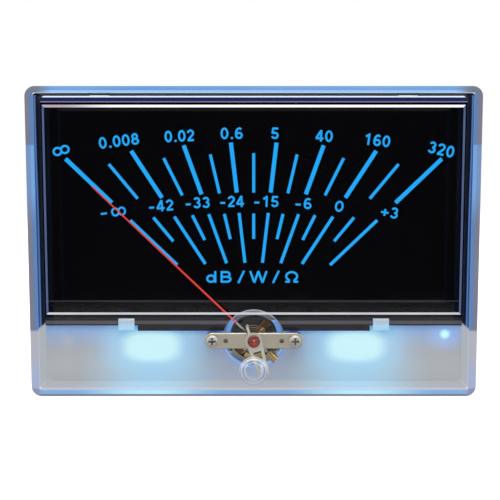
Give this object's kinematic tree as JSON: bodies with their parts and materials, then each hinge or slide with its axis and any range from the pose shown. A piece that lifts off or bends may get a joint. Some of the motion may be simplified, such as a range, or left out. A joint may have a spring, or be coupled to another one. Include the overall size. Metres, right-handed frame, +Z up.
{
  "type": "analog vu meter",
  "caption": "Wide panel VU meter: a clear front cover over a black backlit dial, a red pointer on a moving-coil movement, a zero adjuster and a rear case with studs.",
  "frame": {"origin": "centre of the panel seat, on the rear plane of the cover's rim and of the rear case's flange", "axes": "+X to the right as seen from the front, +Y out of the seat towards the rear, +Z up; the front looks along -Y"},
  "size_m": [0.134, 0.0418, 0.0926],
  "materials": {
    "clear_acrylic": "clear, polished",
    "dial_black": "gloss black",
    "milky_acrylic": "milky, satin",
    "white_plastic": "satin, moulded",
    "zinc_screw": "zinc plated",
    "stud_steel": "zinc plated, threaded",
    "tinned_brass": "tinned",
    "circuit_board": "white solder mask",
    "led": "lit blue",
    "die_cast": "as cast",
    "soft_iron": "machined",
    "magnet": "sintered, ground",
    "brass": "machined",
    "nickel": "nickel plated, stamped",
    "bright_screw": "nickel plated",
    "lacquered_brass": "sealed with red lacquer",
    "jewel": "polished",
    "bronze_wire": "drawn",
    "former_foil": "satin",
    "enamelled_copper": "enamelled wire, wound",
    "pivot_steel": "hardened, polished",
    "pointer_paint": "painted"
  },
  "bodies": {
    "case": {"front_cover": "clear_acrylic", "dial_plate": "dial_black", "diffuser": "milky_acrylic", "light_box": "white_plastic", "rear_case": "white_plastic", "case_screws": "zinc_screw", "mounting_studs": "stud_steel", "signal_terminals": "tinned_brass", "lamp_terminals": "tinned_brass", "lamp_boards": "circuit_board", "lamp_leds": "led", "lamp_screws": "zinc_screw", "lamp_leads": "tinned_brass", "signal_leads": "tinned_brass", "movement_frame": "die_cast", "movement_screws": "zinc_screw", "yoke_ring": "soft_iron", "core_magnet": "magnet", "core_webs": "brass", "pointer_stops": "brass", "front_bridge": "nickel", "front_bridge_screws": "bright_screw", "front_jewel_screw": "lacquered_brass", "front_jewel": "jewel", "rear_bridge": "nickel", "rear_bridge_screws": "bright_screw", "rear_jewel_screw": "brass", "rear_jewel": "jewel", "rear_lock_nut": "zinc_screw", "rear_hairspring": "bronze_wire"},
    "zero_adjuster": {"zero_adjuster": "clear_acrylic"},
    "zero_lever": {"zero_lever": "nickel", "front_hairspring": "bronze_wire"},
    "pointer": {"coil_former": "former_foil", "coil_winding": "enamelled_copper", "front_pivot": "pivot_steel", "rear_pivot": "pivot_steel", "front_collet": "brass", "rear_collet": "brass", "pointer_hub": "brass", "pointer": "pointer_paint", "tail_weight": "brass", "side_weights": "brass"}
  },
  "joints": [
    {"name": "zero_adjuster_turn", "type": "hinge", "parent": "case", "child": "zero_adjuster", "pos_m": [0, -0.014, -0.0383], "axis": [0, 1, 0], "range_deg": [0, 180]},
    {"name": "zero_lever_swing", "type": "hinge", "parent": "case", "child": "zero_lever", "pos_m": [0, -0.011, -0.0303], "axis": [0, 1, 0], "range_deg": [0, 34.06]},
    {"name": "pointer_swing", "type": "hinge", "parent": "case", "child": "pointer", "pos_m": [0, -0.0077, -0.0303], "axis": [0, 1, 0], "range_deg": [-2, 94], "stiffness_Nm_per_rad": 0.00006}
  ],
  "couplings": [
    {"joint": "zero_lever_swing", "follows": "zero_adjuster_turn", "ratio": 0.18919}
  ]
}
